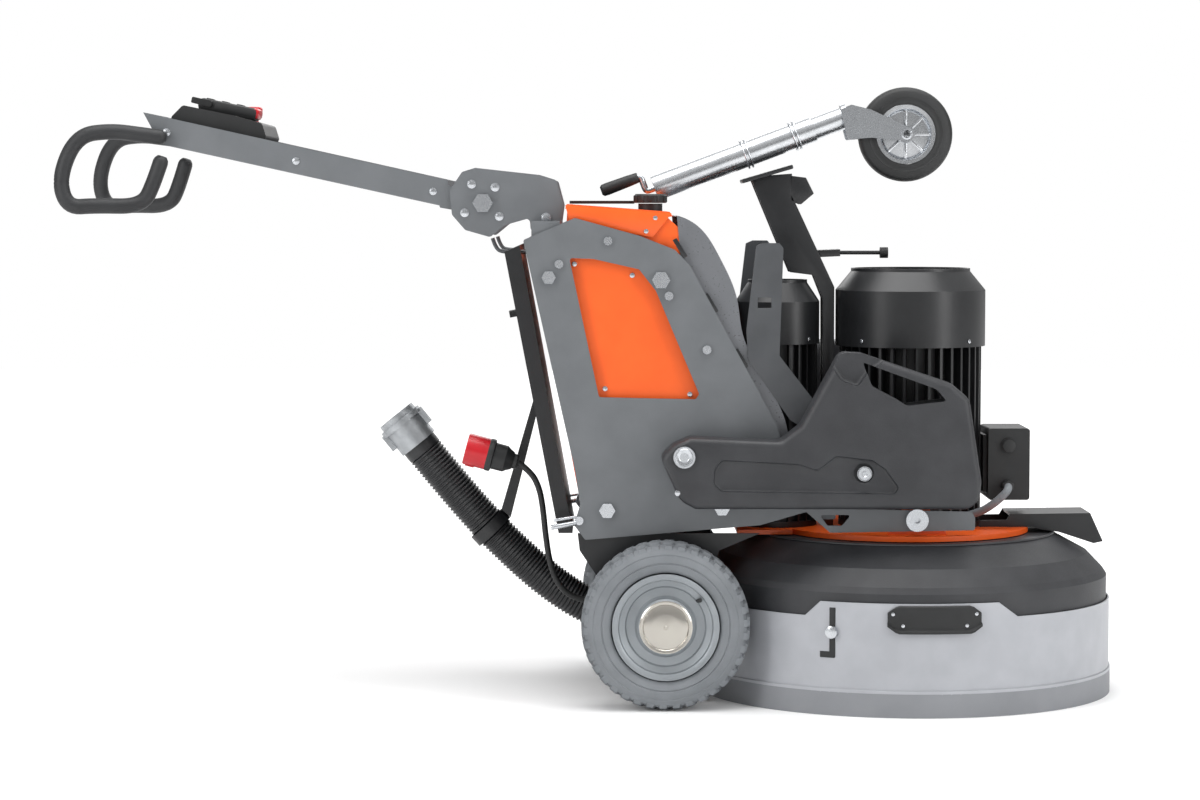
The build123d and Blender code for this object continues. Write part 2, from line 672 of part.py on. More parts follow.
# ---- grey support arms and jockey wheel -----------------------------------------------

SUPPORT = ((321, 897), (335, 903), (366, 903), (374, 893), (367, 683), (432, 599),
           (478, 540), (478, 362), (450, 362), (450, 520), (389, 556), (306, 674), (302, 732))
SUPPORT_HOLE = ((324, 776), (351, 776), (351, 797), (324, 797))
with BuildPart() as support_arms:
    for side in (-1, 1):
        low, high = sorted((side * 217, side * 223))
        add(sheet_plate(SUPPORT, low, high, corner=3))
        add(sheet_plate(SUPPORT_HOLE, low, high), mode=Mode.SUBTRACT)
        low, high = sorted((side * 223, side * (FRAME_Y - FRAME_T)))
        add(sheet_plate(((455, 372), (478, 372), (478, 380), (455, 380)), low, high))
save(support_arms, "support_arms")

ALONG = (math.cos(ARM_SLOPE), 0, math.sin(ARM_SLOPE))
TUBE_START = Vector(127, 0, 1011)  # rear end of the outer tube's axis
TUBE_LONG, INNER_LONG = 340, 405
tube_plane = Plane(origin=TUBE_START, x_dir=(0, 1, 0), z_dir=ALONG)

POST = ((326, 1014), (398, 842), (446, 836), (464, 790), (466, 330), (488, 330), (488, 812),
        (400, 1000), (402, 1040), (318, 1034))
POST_EAR = ((398, 1036), (430, 1032), (446, 1000), (420, 978), (400, 986))
with BuildPart() as jockey_post:
    for side in (-1, 1):
        low, high = sorted((side * 26, side * 32))
        add(sheet_plate(POST, low, high))
        add(sheet_plate(POST_EAR, low, high))
    add(sheet_plate(((300, 1028), (402, 1058), (404, 1050), (302, 1020)), -48, 48))
    for z in (334, 560, 780):
        add(sheet_plate(((468, z), (486, z), (486, z + 12), (468, z + 12)), -26, 26))
    add(sheet_plate(((340, 990), (400, 850), (404, 852), (344, 992)), -26, 26))
    add(sheet_plate(((455, 872), (500, 874), (500, 888), (449, 886)), -26, 26))
    with BuildSketch(Plane.YZ.offset(520)):
        with Locations((0, 881)):
            Circle(4 + RUN)
    extrude(amount=-80, mode=Mode.SUBTRACT)
    for reach in (196, 300):
        with BuildSketch(tube_plane.offset(reach)):
            Circle(TUBE_R + 5)
            Circle(TUBE_R, mode=Mode.SUBTRACT)
        extrude(amount=5)
save(jockey_post, "jockey_post")

with BuildPart() as jockey_plunger:
    with BuildSketch(Plane.YZ.offset(470)):
        with Locations((0, 881)):
            Circle(4)
    extrude(amount=124)
    with BuildSketch(Plane.YZ.offset(582)):
        with Locations((0, 881)):
            Circle(11)
    extrude(amount=16)
save(jockey_plunger, "jockey_plunger")

with BuildPart() as outer_tube:
    with BuildSketch(tube_plane):
        Circle(TUBE_R)
        Circle(TUBE_R - 3, mode=Mode.SUBTRACT)
    extrude(amount=TUBE_LONG)
    with BuildSketch(tube_plane):
        Circle(TUBE_R - 3)
        Circle(8 + RUN, mode=Mode.SUBTRACT)
    extrude(amount=6)
save(outer_tube, "outer_tube")

with BuildPart() as inner_tube:
    with BuildSketch(tube_plane.offset(70)):
        Circle(TUBE_R - 3 - RUN)
        Circle(TUBE_R - 8, mode=Mode.SUBTRACT)
    extrude(amount=INNER_LONG - 70 - 2)
save(inner_tube, "inner_tube")

with BuildPart() as crank:
    with BuildSketch(tube_plane.offset(-22)):
        Circle(8)
    extrude(amount=68)
    with BuildSketch(tube_plane.offset(-22)):
        with Locations((0, 16)):
            RectangleRounded(14, 50, 6)
    extrude(amount=7)
    with BuildSketch(tube_plane.offset(-105)):
        with Locations((0, 32)):
            Circle(13)
    extrude(amount=83)
save(crank, "crank")

FORK_SEAT = TUBE_START + Vector(*ALONG) * (INNER_LONG + 1)
fork_plane = Plane(origin=FORK_SEAT, x_dir=(0, 1, 0), z_dir=ALONG)
with BuildPart() as fork:
    with BuildSketch(fork_plane):
        Circle(27)
    extrude(amount=10)
    for side in (-1, 1):
        low, high = sorted((side * 30, side * 36))
        add(sheet_plate(((498, 1168), (520, 1178), (560, 1168), (645, 1128), (638, 1104),
                         (560, 1112), (514, 1108)), low, high, corner=4))
    add(sheet_plate(((506, 1160), (516, 1166), (532, 1118), (522, 1114)), -36, 36))
    add(pin_y(CASTER_X, CASTER_Z, 8, -42, 42))
save(fork, "fork")

with BuildPart() as caster_wheel:
    with BuildSketch(upright(-20)):
        with Locations((CASTER_X, CASTER_Z)):
            Circle(60)
            Circle(8 + RUN, mode=Mode.SUBTRACT)
    extrude(amount=-40)
save(caster_wheel, "caster_wheel")

with BuildPart() as caster_tyre:
    with BuildSketch(upright(-23)):
        with Locations((CASTER_X, CASTER_Z)):
            Circle(CASTER_R)
            Circle(60, mode=Mode.SUBTRACT)
    extrude(amount=-46)
    rounds = caster_tyre.edges().filter_by(GeomType.CIRCLE)
    fillet([e for e in rounds if e.radius > CASTER_R - 1], 12)
save(caster_tyre, "caster_tyre")

# ---- dust hose, its holder and its coupling -------------------------------------------


def route_radii(points):
    """The largest tangent arc at each corner that its two runs allow."""
    radii = []
    for before, here, after in zip(points, points[1:], points[2:]):
        a, b = Vector(here) - Vector(before), Vector(after) - Vector(here)
        half_turn = math.radians(a.get_angle(b) / 2)
        radii.append(0.45 * min(a.length, b.length) / math.tan(half_turn))
    return radii


def cord_tube(points, r, label):
    """A cord's tube: straight runs joined by tangent arcs."""
    radii = route_radii(points)
    print(label, "radii", [round(value) for value in radii])
    with BuildPart() as tube:
        with BuildLine() as route:
            FilletPolyline(*points, radius=radii)
        with BuildSketch(Plane(route.line @ 0, z_dir=route.line % 0)):
            Circle(r)
        sweep(path=route.line)
    length = sum(edge.length for edge in route.edges())
    print(label, "length", round(length), "volume ratio",
          round(tube.part.volume / (math.pi * r * r * length), 4))
    save(tube, label)


HOSE_ROUTE = ((HOSE_PORT_X - 6, 0, 133), (104.7, 0, 128), (12.5, 0, 151), (-74, 0, 201),
              (-168.4, 0, 283), (-264, 0, 385), (-352, 0, 494))
cord_tube(HOSE_ROUTE, HOSE_R, "dust_hose")

hose_end = Plane(HOSE_ROUTE[-1], z_dir=Vector(HOSE_ROUTE[-1]) - Vector(HOSE_ROUTE[-2]))
with BuildPart() as hose_coupling:
    with BuildSketch(hose_end):
        Circle(HOSE_R + 3)
        Circle(HOSE_R - 5, mode=Mode.SUBTRACT)
    extrude(amount=74)
    with BuildSketch(hose_end.offset(50)):
        Circle(HOSE_R + 9)
        Circle(HOSE_R, mode=Mode.SUBTRACT)
    extrude(amount=12)
    with BuildSketch(hose_end.offset(20)):
        for turn in (0, 180):
            with PolarLocations(HOSE_R + 6, 1, start_angle=turn):
                Rectangle(12, 22)
    extrude(amount=36)
save(hose_coupling, "hose_coupling")

CLAMP_AT = Vector(-206, 0, 323)
clamp_plane = Plane(CLAMP_AT, z_dir=Vector(HOSE_ROUTE[5]) - Vector(HOSE_ROUTE[4]))
with BuildPart() as hose_holder:
    with BuildSketch(clamp_plane.offset(-12)):
        Circle(HOSE_R + 5)
        Circle(HOSE_R + 0.4, mode=Mode.SUBTRACT)
    extrude(amount=24)
    add(sheet_plate(((-117, 590), (-111, 560), (-165, 345), (-184, 361)), -15, 15))
save(hose_holder, "hose_holder")

# ---- mains cable and its plug ---------------------------------------------------------

CABLE_ROUTE = tuple(
    (x, CABLE_Y, z) for x, z in (
        (43, 203), (4, 186), (-35, 190), (-66, 214), (-84, 258), (-93, 318), (-98, 372),
        (-105, 412), (-121, 444), (-148, 464),
    )
)
cord_tube(CABLE_ROUTE, CABLE_R, "power_cable")

plug_plane = Plane(CABLE_ROUTE[-1], z_dir=(-0.966, 0, 0.259))
with BuildPart() as power_plug:
    with BuildSketch(plug_plane):
        Circle(15)
    with BuildSketch(plug_plane.offset(24)):
        Circle(25)
    loft()
    with BuildSketch(plug_plane.offset(24)):
        Circle(27)
    extrude(amount=32)
    with BuildSketch(plug_plane.offset(56)):
        Circle(33)
        Circle(29, mode=Mode.SUBTRACT)
    extrude(amount=52)
    with BuildSketch(plug_plane.offset(50)):
        Circle(33)
    extrude(amount=6)
    with BuildSketch(plug_plane.offset(56)):
        with PolarLocations(15, 5):
            Circle(3)
    extrude(amount=36)
save(power_plug, "power_plug")
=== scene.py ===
"""Walk-behind planetary floor grinder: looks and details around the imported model."""

import math

import bmesh
import bpy
from mathutils import Matrix, Vector


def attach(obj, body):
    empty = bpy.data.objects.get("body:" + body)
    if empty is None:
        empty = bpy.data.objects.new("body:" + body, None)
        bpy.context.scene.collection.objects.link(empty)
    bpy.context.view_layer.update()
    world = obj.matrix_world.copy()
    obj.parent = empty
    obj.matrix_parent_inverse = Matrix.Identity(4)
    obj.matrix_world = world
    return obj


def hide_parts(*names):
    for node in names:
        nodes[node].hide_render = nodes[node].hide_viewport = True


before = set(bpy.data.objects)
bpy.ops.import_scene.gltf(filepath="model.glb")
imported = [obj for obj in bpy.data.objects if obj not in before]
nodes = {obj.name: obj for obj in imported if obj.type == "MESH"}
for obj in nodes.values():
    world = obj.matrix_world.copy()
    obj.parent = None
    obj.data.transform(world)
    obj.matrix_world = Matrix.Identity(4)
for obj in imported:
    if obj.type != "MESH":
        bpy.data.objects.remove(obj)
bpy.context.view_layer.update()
MM = 0.001

# ---- small helpers --------------------------------------------------------------------


def linear(hex_code, alpha=1.0):
    """An sRGB hex colour as the linear colour that a shader reads."""
    parts = [int(hex_code[i:i + 2], 16) / 255 for i in (1, 3, 5)]
    return [c / 12.92 if c <= 0.04045 else ((c + 0.055) / 1.055) ** 2.4 for c in parts] + [alpha]


def add_node(material, kind, inputs=None, **settings):
    """Add a shader node, with its settings, values and links."""
    made = material.node_tree.nodes.new(kind)
    for name, value in settings.items():
        setattr(made, name, value)
    for name, value in (inputs or {}).items():
        if isinstance(value, bpy.types.NodeSocket):
            material.node_tree.links.new(value, made.inputs[name])
        else:
            made.inputs[name].default_value = value
    return made


def finish_of(name, light, dark, rough, metallic=0.0, grain_mm=1.0, bump_mm=0.1,
              patch_mm=60.0, coat=0.0):
    """A solid finish: two close tones in soft patches, uneven gloss and a fine surface grain."""
    material = bpy.data.materials.new(name)
    material.use_nodes = True
    shader = material.node_tree.nodes["Principled BSDF"]
    place = add_node(material, "ShaderNodeTexCoord")
    patches = add_node(material, "ShaderNodeTexNoise",
                       {"Vector": place.outputs["Object"], "Scale": 1000 / patch_mm, "Detail": 4.0})
    grain = add_node(material, "ShaderNodeTexNoise",
                     {"Vector": place.outputs["Object"], "Scale": 1000 / grain_mm, "Detail": 2.0})
    tones = add_node(material, "ShaderNodeValToRGB", {"Fac": patches.outputs["Fac"]})
    tones.color_ramp.elements[0].position = 0.35
    tones.color_ramp.elements[0].color = linear(dark)
    tones.color_ramp.elements[1].position = 0.65
    tones.color_ramp.elements[1].color = linear(light)
    gloss = add_node(material, "ShaderNodeMapRange",
                     {"Value": grain.outputs["Fac"], "To Min": rough[0], "To Max": rough[1]})
    relief = add_node(material, "ShaderNodeBump",
                      {"Height": grain.outputs["Fac"], "Strength": 0.5,
                       "Distance": bump_mm * MM})
    links = material.node_tree.links
    links.new(tones.outputs["Color"], shader.inputs["Base Color"])
    links.new(gloss.outputs["Result"], shader.inputs["Roughness"])
    links.new(relief.outputs["Normal"], shader.inputs["Normal"])
    shader.inputs["Metallic"].default_value = metallic
    shader.inputs["Coat Weight"].default_value = coat
    return material


# ---- materials ------------------------------------------------------------------------

# polyester powder coat on steel sheet: even satin with a fine orange-peel ripple
GREY_COAT = finish_of("powder_coat_grey", "#6c6f72", "#66696c", (0.34, 0.46), grain_mm=2.2,
                      bump_mm=0.05, metallic=0.2)
COVER_COAT = finish_of("powder_coat_dark_grey", "#77797d", "#737579", (0.26, 0.3),
                       grain_mm=5.0, bump_mm=0.01, metallic=0.35, patch_mm=200)
ORANGE_COAT = finish_of("powder_coat_orange", "#ee5f17", "#e85a12", (0.32, 0.44),
                        grain_mm=2.2, bump_mm=0.05)
BLACK_COAT = finish_of("powder_coat_black", "#1d1e20", "#17181a", (0.3, 0.42), grain_mm=2.0,
                       bump_mm=0.05)
SKIRT_COAT = finish_of("powder_coat_light_grey", "#a9abb0", "#a2a4a9", (0.38, 0.5),
                       grain_mm=2.4, bump_mm=0.05, metallic=0.15)
# rotational-moulded polyethylene: a leathery grain that breaks up every reflection
MOULDED = finish_of("moulded_polyethylene", "#2f3033", "#27282b", (0.42, 0.6), grain_mm=2.6,
                    bump_mm=0.35)
# glass-filled nylon: dull, finer grain
NYLON = finish_of("black_nylon", "#1c1d1e", "#161718", (0.45, 0.6), grain_mm=1.2, bump_mm=0.12)
# cast aluminium motor casing under matt black enamel
ENAMEL = finish_of("motor_enamel", "#18191b", "#121315", (0.35, 0.5), grain_mm=3.0,
                   bump_mm=0.12)
# foam-filled grip sleeve: soft matt rubber
GRIP_FOAM = finish_of("grip_rubber", "#242527", "#1c1d1f", (0.5, 0.65), grain_mm=1.6,
                      bump_mm=0.15)
# zinc electroplate: bright, slightly blue, with faint crystalline patches
ZINC = finish_of("zinc_plate", "#c4c7cb", "#bfc2c6", (0.24, 0.3), metallic=1.0, grain_mm=1.4,
                 bump_mm=0.03, patch_mm=14)
GALVANISED = finish_of("galvanised_tube", "#cfd1d4", "#c2c5c8", (0.2, 0.32), metallic=1.0,
                       grain_mm=1.8, bump_mm=0.03, patch_mm=24)
# sand-cast aluminium, unpainted
CAST_ALLOY = finish_of("cast_aluminium", "#a9acaf", "#9b9ea1", (0.36, 0.5), metallic=0.9,
                       grain_mm=1.8, bump_mm=0.18, patch_mm=20)
RIM_PAINT = finish_of("rim_silver_paint", "#94999d", "#8a8f93", (0.36, 0.48), metallic=0.45,
                      grain_mm=2.0, bump_mm=0.05)
# non-marking grey tyre compound
TYRE_GREY = finish_of("grey_tyre_rubber", "#7a7e82", "#6f7377", (0.6, 0.75), grain_mm=1.8,
                      bump_mm=0.15)
BLACK_RUBBER = finish_of("black_rubber", "#1f2021", "#181919", (0.5, 0.65), grain_mm=1.5,
                         bump_mm=0.1)
HOSE_SKIN = finish_of("hose_thermoplastic", "#202123", "#17181a", (0.36, 0.5), grain_mm=2.0,
                      bump_mm=0.06)
RED_PLASTIC = finish_of("red_plastic", "#c01522", "#b0101c", (0.25, 0.35), grain_mm=1.5,
                        bump_mm=0.03)
YELLOW_PLASTIC = finish_of("yellow_plastic", "#e9c21c", "#dfb615", (0.3, 0.4), grain_mm=1.5,
                           bump_mm=0.03)
GLASSY = finish_of("display_window", "#0d0e10", "#0b0c0e", (0.08, 0.14), grain_mm=4.0,
                   bump_mm=0.01, coat=0.5)
# thermoplastic rubber lip that holds the bristles
BRISTLE = finish_of("grey_rubber_lip", "#85878b", "#7d7f83", (0.5, 0.62), grain_mm=2.4,
                    bump_mm=0.08, patch_mm=120)
# powder coat on the black-grey support arms
ARM_COAT = finish_of("powder_coat_charcoal", "#4e5053", "#47494c", (0.34, 0.46), grain_mm=2.2,
                     bump_mm=0.05, metallic=0.2)
# drawn and polished steel of the hub caps
HUB_STEEL = finish_of("polished_hub_steel", "#bab6ae", "#b3afa8", (0.2, 0.28), metallic=0.9,
                      grain_mm=1.0, bump_mm=0.02, patch_mm=90)
# machined tool steel
TOOL_STEEL = finish_of("machined_steel", "#8d8f92", "#7b7d80", (0.3, 0.45), metallic=1.0,
                       grain_mm=1.2, bump_mm=0.04, patch_mm=30)

CAD_FINISH = {
    GREY_COAT: "side_frame_right side_frame_left pivot_plates handle_beam",
    ARM_COAT: "support_arms",
    COVER_COAT: "front_cover",
    ORANGE_COAT: "cabinet_shell top_panel head_plate",
    BLACK_COAT: "rear_door axle_carrier jockey_post front_bracket hose_holder big_cowl small_cowl",
    NYLON: "top_lid dash_housing tank_cap terminal_box shroud_handles jockey_plunger "
           "main_switch water_tank power_plug",
    ENAMEL: "big_motor small_motor drive_unit",
    MOULDED: "hood weight_right weight_left",
    GRIP_FOAM: "grips",
    ZINC: "cross_tubes frame_bolts pivot_pins weight_lock_right weight_lock_left crank fork "
          "big_fan small_fan",
    GALVANISED: "outer_tube inner_tube",
    CAST_ALLOY: "hose_coupling turntable",
    RIM_PAINT: "rim_right rim_left caster_wheel",
    TYRE_GREY: "tyre_right tyre_left",
    BLACK_RUBBER: "caster_tyre power_cable",
    HOSE_SKIN: "dust_hose",
    RED_PLASTIC: "stop_button",
    SKIRT_COAT: "skirt",
    BRISTLE: "brush_strip",
    TOOL_STEEL: "grinding_disc_1 grinding_disc_2 grinding_disc_3",
}
for finish, names in CAD_FINISH.items():
    for name in names.split():
        nodes[name].data.materials.clear()
        nodes[name].data.materials.append(finish)
        for face in nodes[name].data.polygons:
            face.material_index = 0


# ---- modelling helpers ----------------------------------------------------------------


def finish_piece(piece, finish, body, replaces=(), smooth=35):
    """Give a piece its outward faces, its finish, its shading and the body it rides on."""
    form = bmesh.new()
    form.from_mesh(piece.data)
    bmesh.ops.remove_doubles(form, verts=form.verts, dist=0.00001)
    bmesh.ops.recalc_face_normals(form, faces=form.faces)
    form.to_mesh(piece.data)
    form.free()
    piece.data.materials.clear()
    piece.data.materials.append(finish)
    bpy.ops.object.select_all(action="DESELECT")
    bpy.context.view_layer.objects.active = piece
    piece.select_set(True)
    bpy.ops.object.shade_smooth_by_angle(angle=math.radians(smooth))
    piece.select_set(False)
    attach(piece, body)
    if replaces:
        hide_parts(*replaces)
    return piece


def modifier(piece, kind, **settings):
    """Add a modifier with its settings and apply it."""
    bpy.ops.object.select_all(action="DESELECT")
    bpy.context.view_layer.objects.active = piece
    piece.select_set(True)
    added = piece.modifiers.new(kind.lower(), kind)
    for name, value in settings.items():
        setattr(added, name, value)
    bpy.ops.object.modifier_apply(modifier=added.name)


def settle():
    """Put the active piece's place, turn and size into its mesh."""
    bpy.ops.object.transform_apply(location=True, rotation=True, scale=True)
    return bpy.context.object


def joined(pieces, name):
    """Several separate shapes as one piece."""
    bpy.ops.object.select_all(action="DESELECT")
    for piece in pieces:
        piece.select_set(True)
    bpy.context.view_layer.objects.active = pieces[0]
    if len(pieces) > 1:
        bpy.ops.object.join()
    pieces[0].name = name
    return pieces[0]


def plate(outline, y_low, y_high, bevel=0.0, segments=2):
    """A plate with its outline in X and Z, in millimetres, its edges rounded over."""
    count = len(outline)
    points = [(x, y, z) for y in (y_low, y_high) for x, z in outline]
    faces = [list(range(count)), list(range(2 * count - 1, count - 1, -1))]
    faces += [[i, (i + 1) % count, count + (i + 1) % count, count + i] for i in range(count)]
    mesh = bpy.data.meshes.new("plate")
    mesh.from_pydata([Vector(p) * MM for p in points], [], faces)
    outward = bmesh.new()
    outward.from_mesh(mesh)
    bmesh.ops.recalc_face_normals(outward, faces=outward.faces)
    outward.to_mesh(mesh)
    outward.free()
    piece = bpy.data.objects.new("plate", mesh)
    bpy.context.scene.collection.objects.link(piece)
    if bevel:
        modifier(piece, "BEVEL", width=bevel * MM, segments=segments, limit_method="ANGLE",
                 angle_limit=math.radians(30))
    return piece


def block(centre, size, bevel=1.0, turn=(0, 0, 0)):
    """A bevelled block; centre and size in millimetres, turn in degrees."""
    bpy.ops.mesh.primitive_cube_add(size=1, location=Vector(centre) * MM,
                                    rotation=[math.radians(a) for a in turn])
    bpy.context.object.scale = Vector(size) * MM
    piece = settle()
    modifier(piece, "BEVEL", width=bevel * MM, segments=2, limit_method="ANGLE")
    return piece


def rod(start, end, r, sides=24, bevel=0.0):
    """A round bar between two points, in millimetres."""
    start, end = Vector(start), Vector(end)
    turn = (end - start).to_track_quat("Z", "Y").to_euler()
    bpy.ops.mesh.primitive_cylinder_add(vertices=sides, radius=r * MM,
                                        depth=(end - start).length * MM,
                                        location=(start + end) / 2 * MM, rotation=turn)
    piece = settle()
    if bevel:
        modifier(piece, "BEVEL", width=bevel * MM, segments=2, limit_method="ANGLE",
                 angle_limit=math.radians(50))
    return piece


def bolt(x, y, z, r, toward, height=5.0):
    """A hexagon bolt head on a washer, standing out of a side face along Y."""
    washer = rod((x, y, z), (x, y + toward * 1.5, z), r * 1.25, 24, 0.4)
    head = rod((x, y + toward * 1.5, z), (x, y + toward * height, z), r, 6, 0.6)
    return [washer, head]


def smooth_line(points):
    """Points along the smooth curve that has these control points, in metres."""
    curve = bpy.data.curves.new("route", "CURVE")
    curve.dimensions = "3D"
    curve.resolution_u = 24
    spline = curve.splines.new("NURBS")
    spline.points.add(len(points) - 1)
    for point, place in zip(spline.points, points):
        point.co = (*place, 1)
    spline.order_u = 3
    spline.use_endpoint_u = True
    holder = bpy.data.objects.new("route", curve)
    bpy.context.scene.collection.objects.link(holder)
    line = [v.co.copy() for v in bpy.data.meshes.new_from_object(holder).vertices]
    bpy.data.objects.remove(holder)
    return line


def evenly(line, step):
    """The line again, at even steps."""
    total = sum((b - a).length for a, b in zip(line, line[1:]))
    count = max(2, round(total / step))
    found, wanted, gone = [line[0]], total / count, 0.0
    for a, b in zip(line, line[1:]):
        run = (b - a).length
        while gone + run >= wanted * len(found) - 1e-9 and len(found) < count:
            found.append(a.lerp(b, (wanted * len(found) - gone) / run))
        gone += run
    return found + [line[-1]]


def swept(line, radii, sides, name, across=(0, 1, 0)):
    """A closed round skin along a line, with its own radius at each point, in metres."""
    form = bmesh.new()
    rings = []
    for i, place in enumerate(line):
        ahead = (line[min(i + 1, len(line) - 1)] - line[max(i - 1, 0)]).normalized()
        side = Vector(across) - ahead * ahead.dot(Vector(across))
        side.normalize()
        up = ahead.cross(side)
        rings.append([
            form.verts.new(place + radii[i] * (side * math.cos(t) + up * math.sin(t)))
            for t in (2 * math.pi * k / sides for k in range(sides))
        ])
    for low, high in zip(rings, rings[1:]):
        for k in range(sides):
            form.faces.new((low[k], low[(k + 1) % sides], high[(k + 1) % sides], high[k]))
    form.faces.new(rings[0])
    form.faces.new(rings[-1])
    mesh = bpy.data.meshes.new(name)
    form.to_mesh(mesh)
    form.free()
    piece = bpy.data.objects.new(name, mesh)
    bpy.context.scene.collection.objects.link(piece)
    return piece


# ---- camera and light -----------------------------------------------------------------

camera_data = bpy.data.cameras.new("camera")
camera_data.lens = 93.36
camera_data.sensor_width = 36
camera = bpy.data.objects.new("camera", camera_data)
camera.location = (0.016, -6.3, 0.981)
camera.rotation_euler = (math.radians(90 - 3.622), 0, 0)
bpy.context.scene.collection.objects.link(camera)
bpy.context.scene.camera = camera


def softbox(name, place, target, size, power):
    """A large soft lamp that points at a place."""
    lamp = bpy.data.lights.new(name, "AREA")
    lamp.shape = "RECTANGLE"
    lamp.size, lamp.size_y = size
    lamp.energy = power
    holder = bpy.data.objects.new(name, lamp)
    holder.location = place
    holder.rotation_euler = (Vector(target) - Vector(place)).to_track_quat("-Z", "Y").to_euler()
    bpy.context.scene.collection.objects.link(holder)


softbox("overhead", (0.2, -0.4, 3.4), (0.1, 0, 0.4), (3.0, 1.8), 75)
softbox("front_left", (-3.0, -2.8, 2.2), (0, 0, 0.5), (0.9, 2.4), 60)
softbox("front_right", (3.2, -2.4, 1.7), (0.3, 0, 0.5), (0.8, 2.4), 45)
softbox("behind", (0.5, 3.2, 2.4), (0.2, 0, 0.6), (3.0, 1.6), 40)

world = bpy.data.worlds.new("studio")
bpy.context.scene.world = world
world.use_nodes = True
world.node_tree.nodes["Background"].inputs["Color"].default_value = (1, 1, 1, 1)
# the backdrop is seen white, but lights the machine mostly from above and less from the sides
sky = world.node_tree
seen = sky.nodes.new("ShaderNodeLightPath")
heading = sky.nodes.new("ShaderNodeTexCoord")
direction = sky.nodes.new("ShaderNodeSeparateXYZ")
sky.links.new(heading.outputs["Generated"], direction.inputs["Vector"])
height = sky.nodes.new("ShaderNodeMapRange")
height.inputs["From Min"].default_value = -0.05
height.inputs["From Max"].default_value = 0.75
height.inputs["To Min"].default_value = 0.22
height.inputs["To Max"].default_value = 0.85
sky.links.new(direction.outputs["Z"], height.inputs["Value"])
level = sky.nodes.new("ShaderNodeMapRange")
level.inputs["To Max"].default_value = 1.0
sky.links.new(seen.outputs["Is Camera Ray"], level.inputs["Value"])
sky.links.new(height.outputs["Result"], level.inputs["To Min"])
sky.links.new(level.outputs["Result"], sky.nodes["Background"].inputs["Strength"])
bpy.context.scene.view_settings.view_transform = "Standard"

# matt white studio floor
bpy.ops.mesh.primitive_plane_add(size=24, location=(0, 0, 0))
floor = bpy.context.object
floor.name = "studio_floor"
STUDIO = finish_of("matt_floor_paint", "#f4f4f4", "#f2f2f2", (0.75, 0.85), grain_mm=60,
                   bump_mm=0.01, patch_mm=900)
floor.data.materials.append(STUDIO)
# painted light: the floor glows more the farther it lies from the machine, standing in for the
# light on a lit backdrop
studio_shader = STUDIO.node_tree.nodes["Principled BSDF"]
floor_place = add_node(STUDIO, "ShaderNodeTexCoord")
distance = add_node(STUDIO, "ShaderNodeVectorMath", {0: floor_place.outputs["Object"]},
                    operation="LENGTH")
painted_far_glow = add_node(STUDIO, "ShaderNodeMapRange",
                {"Value": distance.outputs["Value"], "From Min": 0.9, "From Max": 4.2,
                 "To Min": 0.02, "To Max": 0.6})
studio_shader.inputs["Emission Color"].default_value = (1, 1, 1, 1)
STUDIO.node_tree.links.new(painted_far_glow.outputs["Result"], studio_shader.inputs["Emission Strength"])

# ---- cords ----------------------------------------------------------------------------

HOSE_ROUTE = [(0.196, 0, 0.133), (0.1047, 0, 0.128), (0.0125, 0, 0.151), (-0.074, 0, 0.201),
              (-0.1684, 0, 0.283), (-0.264, 0, 0.385), (-0.352, 0, 0.494)]
CABLE_ROUTE = [(x, -0.1, z) for x, z in (
    (0.043, 0.203), (0.004, 0.186), (-0.035, 0.190), (-0.066, 0.214), (-0.084, 0.258),
    (-0.093, 0.318), (-0.098, 0.372), (-0.105, 0.412), (-0.121, 0.444), (-0.148, 0.464))]


def dust_hose():
    """Corrugated suction hose: round ridges every 8 mm, smooth cuffs at both ends."""
    route = smooth_line(HOSE_ROUTE)
    line = evenly(route, 0.0016)
    last = len(line) - 1
    radii = []
    for i in range(len(line)):
        ridge = 0.5 + 0.5 * math.cos(2 * math.pi * i / 5)
        cuff = i < 22 or i > last - 14
        radii.append(0.0372 if cuff else 0.0338 + 0.0042 * ridge ** 0.7)
    hose = swept(line, radii, 40, "suction_hose")
    finish_piece(hose, HOSE_SKIN, "chassis", ["dust_hose"], 80)
    return hose


def mains_cable():
    """Round rubber cable that parks its plug on the hose holder."""
    route = smooth_line(CABLE_ROUTE)
    line = evenly(route, 0.006)
    cable = swept(line, [0.006] * len(line), 20, "mains_cable")
    finish_piece(cable, BLACK_RUBBER, "chassis", ["power_cable"], 80)


dust_hose()


def lathe(profile, centre, axis, name, sides=96):
    """A closed ring or disc: a profile of (radius, height) turned about an axis, millimetres."""
    form = bmesh.new()
    turn = Vector((0, 0, 1)).rotation_difference(Vector(axis)).to_matrix()
    rings = []
    for k in range(sides):
        t = 2 * math.pi * k / sides
        rings.append([
            form.verts.new((turn @ Vector((r * math.cos(t), r * math.sin(t), h))
                            + Vector(centre)) * MM)
            for r, h in profile
        ])
    count = len(profile)
    for k in range(sides):
        one, two = rings[k], rings[(k + 1) % sides]
        for i in range(count):
            form.faces.new((one[i], one[(i + 1) % count], two[(i + 1) % count], two[i]))
    bmesh.ops.remove_doubles(form, verts=form.verts, dist=0.00001)
    mesh = bpy.data.meshes.new(name)
    form.to_mesh(mesh)
    form.free()
    piece = bpy.data.objects.new(name, mesh)
    bpy.context.scene.collection.objects.link(piece)
    return piece


def cut(piece, cutter):
    """Take one solid out of another."""
    modifier(piece, "BOOLEAN", object=cutter, operation="DIFFERENCE", solver="EXACT")
    bpy.data.objects.remove(cutter)


SIDES = ((-1, "right"), (1, "left"))

# ---- drive wheels ---------------------------------------------------------------------

WHEEL = (143, 297, 164)  # centre of the left wheel
TREAD_PITCHES = 38


